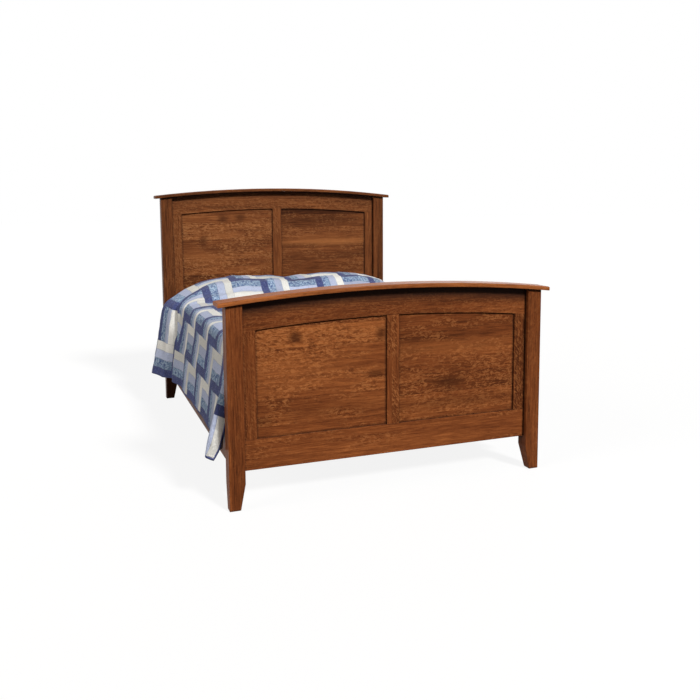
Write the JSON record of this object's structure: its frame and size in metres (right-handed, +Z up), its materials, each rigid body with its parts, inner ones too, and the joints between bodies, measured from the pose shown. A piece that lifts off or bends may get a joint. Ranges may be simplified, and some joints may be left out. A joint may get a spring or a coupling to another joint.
{
  "type": "panel bed",
  "caption": "Full-size wooden panel bed with arched headboard and footboard, hook-on side rails, slats, mattress, pillows and patchwork quilt.",
  "frame": {"origin": "on the floor, under the middle of the bed: centre of the bounding box's bottom face", "axes": "+X to the right as seen from the foot of the bed, +Y from the footboard towards the headboard, +Z up"},
  "size_m": [1.738, 2.132, 1.3628],
  "materials": {
    "stained_oak": "quarter-sawn oak, red-brown stain, satin varnish",
    "slat_wood": "planed poplar, unfinished",
    "dowel_wood": "birch, unfinished",
    "steel_plate": "zinc-plated steel",
    "zinc_screws": "zinc-plated steel",
    "nylon": "moulded nylon",
    "foundation_cover": "woven cotton cover with piping",
    "mattress_ticking": "quilted damask ticking with tape edge",
    "pillowcase": "plain cotton pillowcase",
    "quilt_patchwork": "pieced cotton, strips of navy, blue, pale blue and cream, quilted"
  },
  "bodies": {
    "root": {"cap_dowels": "dowel_wood", "centre_support_leg_1": "slat_wood", "centre_support_leg_2": "slat_wood", "cleat_screws": "zinc_screws", "foot_glides": "nylon", "foot_left_hook_plate": "steel_plate", "foot_left_slot_plate": "steel_plate", "foot_right_hook_plate": "steel_plate", "foot_right_slot_plate": "steel_plate", "footboard_bottom_rail": "stained_oak", "footboard_cap": "stained_oak", "footboard_centre_stile": "stained_oak", "footboard_left_panel": "stained_oak", "footboard_left_post": "stained_oak", "footboard_left_stile": "stained_oak", "footboard_right_panel": "stained_oak", "footboard_right_post": "stained_oak", "footboard_right_stile": "stained_oak", "footboard_top_rail": "stained_oak", "foundation": "foundation_cover", "head_left_hook_plate": "steel_plate", "head_left_slot_plate": "steel_plate", "head_right_hook_plate": "steel_plate", "head_right_slot_plate": "steel_plate", "headboard_bottom_rail": "stained_oak", "headboard_cap": "stained_oak", "headboard_centre_stile": "stained_oak", "headboard_left_panel": "stained_oak", "headboard_left_post": "stained_oak", "headboard_left_stile": "stained_oak", "headboard_right_panel": "stained_oak", "headboard_right_post": "stained_oak", "headboard_right_stile": "stained_oak", "headboard_top_rail": "stained_oak", "left_pillow": "pillowcase", "left_side_rail": "stained_oak", "left_slat_cleat": "slat_wood", "mattress": "mattress_ticking", "plate_screws": "zinc_screws", "quilt": "quilt_patchwork", "right_pillow": "pillowcase", "right_side_rail": "stained_oak", "right_slat_cleat": "slat_wood", "slat_1": "slat_wood", "slat_2": "slat_wood", "slat_3": "slat_wood", "slat_4": "slat_wood", "slat_5": "slat_wood", "slat_screws": "zinc_screws"}
  },
  "joints": []
}
